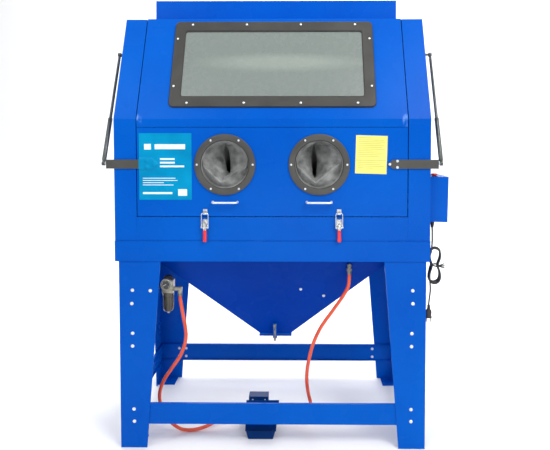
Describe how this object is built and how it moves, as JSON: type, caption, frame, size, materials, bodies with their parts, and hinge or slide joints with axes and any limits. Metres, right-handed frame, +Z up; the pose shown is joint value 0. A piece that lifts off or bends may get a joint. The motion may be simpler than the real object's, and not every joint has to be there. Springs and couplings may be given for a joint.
{
  "type": "abrasive blasting cabinet",
  "caption": "Free-standing abrasive blasting cabinet with a sloped window door, glove ports, hopper, tapered legs, foot pedal and air hoses.",
  "frame": {"origin": "centre of the cabinet's footprint box on the floor, cords left out", "axes": "+X to the right as the operator faces the door, +Y to the rear, +Z up"},
  "size_m": [1.3445, 0.7032, 1.823],
  "materials": {
    "blue_paint": "glossy powder coat",
    "dark_trim": "satin powder coat, grey-brown",
    "zinc_steel": "bright zinc plate",
    "window_glass": "frosted, grey-white",
    "sleeve_rubber": "soft sheen, rubberised cloth",
    "red_plastic": "glossy",
    "air_hose": "smooth, semi-gloss",
    "cord_jacket": "matt jacket",
    "black_plastic": "moulded",
    "fitting_brass": "nickel-plated",
    "filter_bowl": "smoked clear plastic",
    "lamp_glass": "white tube",
    "cast_alloy": "cast, semi-gloss"
  },
  "bodies": {
    "cabinet": {"side_panel_left": "blue_paint", "side_panel_right": "blue_paint", "roof_back_panel": "blue_paint", "front_sill": "blue_paint", "door_hinge_rod": "zinc_steel", "floor_grate": "zinc_steel", "light_housing": "blue_paint", "lamp_tube": "lamp_glass", "dust_port": "dark_trim", "blast_gun": "cast_alloy", "stand_band": "blue_paint", "rail_front": "blue_paint", "rail_rear": "blue_paint", "rail_left": "blue_paint", "rail_right": "blue_paint", "leg_front_left": "blue_paint", "leg_front_right": "blue_paint", "leg_rear_left": "blue_paint", "leg_rear_right": "blue_paint", "hopper": "blue_paint", "hopper_outlet": "blue_paint", "latch_base_left": "zinc_steel", "latch_base_right": "zinc_steel", "control_box": "blue_paint", "mains_gland": "black_plastic", "mains_cord_drop": "cord_jacket", "mains_cord_hank": "cord_jacket", "mains_cord_tail": "cord_jacket", "mains_plug": "black_plastic", "regulator_body": "cast_alloy", "regulator_bowl": "filter_bowl", "bulkhead_fitting": "fitting_brass", "feed_hose": "air_hose", "gun_hose": "air_hose", "pedal_base": "blue_paint"},
    "door": {"door_upper": "blue_paint", "door_lower": "blue_paint", "window_bezel": "dark_trim", "window_glass": "window_glass", "glove_ring_left": "dark_trim", "glove_sleeve_left": "sleeve_rubber", "handle_left": "zinc_steel", "strap_left": "dark_trim", "glove_ring_right": "dark_trim", "glove_sleeve_right": "sleeve_rubber", "handle_right": "zinc_steel", "strap_right": "dark_trim"},
    "stay_rod_left": {"stay_rod_left": "dark_trim"},
    "stay_tube_left": {"stay_tube_left": "dark_trim"},
    "stay_rod_right": {"stay_rod_right": "dark_trim"},
    "stay_tube_right": {"stay_tube_right": "dark_trim"},
    "latch_lever_left": {"latch_lever_left": "red_plastic"},
    "latch_bail_left": {"latch_bail_left": "zinc_steel"},
    "latch_lever_right": {"latch_lever_right": "red_plastic"},
    "latch_bail_right": {"latch_bail_right": "zinc_steel"},
    "drain_lid": {"drain_lid": "blue_paint"},
    "drain_clasp": {"drain_clasp": "zinc_steel"},
    "power_switch": {"power_switch": "red_plastic"},
    "regulator_knob": {"regulator_knob": "black_plastic"},
    "pedal_tread": {"pedal_tread": "blue_paint"}
  },
  "joints": [
    {"name": "door_hinge", "type": "hinge", "parent": "cabinet", "child": "door", "pos_m": [-0.01475, -0.1417, 1.705], "axis": [-1, 0, 0], "range_deg": [0, 50]},
    {"name": "stay_swing_left", "type": "hinge", "parent": "cabinet", "child": "stay_rod_left", "pos_m": [-0.66375, -0.1237, 1.566], "axis": [-1, 0, 0], "range_deg": [0, 58]},
    {"name": "stay_slide_left", "type": "slide", "parent": "stay_rod_left", "child": "stay_tube_left", "axis": [0, -0.415, -0.9098], "range_m": [0, 0.1048]},
    {"name": "stay_swing_right", "type": "hinge", "parent": "cabinet", "child": "stay_rod_right", "pos_m": [0.63425, -0.1237, 1.566], "axis": [-1, 0, 0], "range_deg": [0, 58]},
    {"name": "stay_slide_right", "type": "slide", "parent": "stay_rod_right", "child": "stay_tube_right", "axis": [0, -0.415, -0.9098], "range_m": [0, 0.1048]},
    {"name": "latch_lever_hinge_left", "type": "hinge", "parent": "cabinet", "child": "latch_lever_left", "pos_m": [-0.27325, -0.3362, 0.884], "axis": [-1, 0, 0], "range_deg": [0, 120]},
    {"name": "latch_bail_hinge_left", "type": "hinge", "parent": "latch_lever_left", "child": "latch_bail_left", "pos_m": [-0.27325, -0.3362, 0.876], "axis": [-1, 0, 0], "range_deg": [-150, 0]},
    {"name": "latch_lever_hinge_right", "type": "hinge", "parent": "cabinet", "child": "latch_lever_right", "pos_m": [0.24375, -0.3362, 0.884], "axis": [-1, 0, 0], "range_deg": [0, 120]},
    {"name": "latch_bail_hinge_right", "type": "hinge", "parent": "latch_lever_right", "child": "latch_bail_right", "pos_m": [0.24375, -0.3362, 0.876], "axis": [-1, 0, 0], "range_deg": [-150, 0]},
    {"name": "drain_lid_hinge", "type": "hinge", "parent": "cabinet", "child": "drain_lid", "pos_m": [-0.01475, 0.0683, 0.3582], "axis": [1, 0, 0], "range_deg": [0, 90]},
    {"name": "drain_clasp_hinge", "type": "hinge", "parent": "cabinet", "child": "drain_clasp", "pos_m": [-0.01475, -0.1292, 0.42], "axis": [-1, 0, 0], "range_deg": [0, 110]},
    {"name": "power_switch_press", "type": "slide", "parent": "cabinet", "child": "power_switch", "axis": [0, 0, -1], "range_m": [0, 0.003], "stiffness_N_per_m": 400, "springref_m": -0.002},
    {"name": "regulator_knob_turn", "type": "hinge", "parent": "cabinet", "child": "regulator_knob", "pos_m": [-0.43675, -0.2537, 0.65], "axis": [0, 0, 1], "range_deg": [-150, 150]},
    {"name": "pedal_press", "type": "hinge", "parent": "cabinet", "child": "pedal_tread", "pos_m": [-0.06675, -0.2522, 0.034], "axis": [-1, 0, 0], "range_deg": [0, 8], "stiffness_Nm_per_rad": 4, "springref_deg": -8.59}
  ],
  "couplings": [
    {"joint": "stay_swing_left", "follows": "door_hinge", "ratio": 1.1258},
    {"joint": "stay_slide_left", "follows": "door_hinge", "m_per_rad": 0.11779},
    {"joint": "stay_swing_right", "follows": "door_hinge", "ratio": 1.1258},
    {"joint": "stay_slide_right", "follows": "door_hinge", "m_per_rad": 0.11779},
    {"joint": "latch_bail_hinge_left", "follows": "latch_lever_hinge_left", "ratio": -1.2},
    {"joint": "latch_bail_hinge_right", "follows": "latch_lever_hinge_right", "ratio": -1.2}
  ]
}
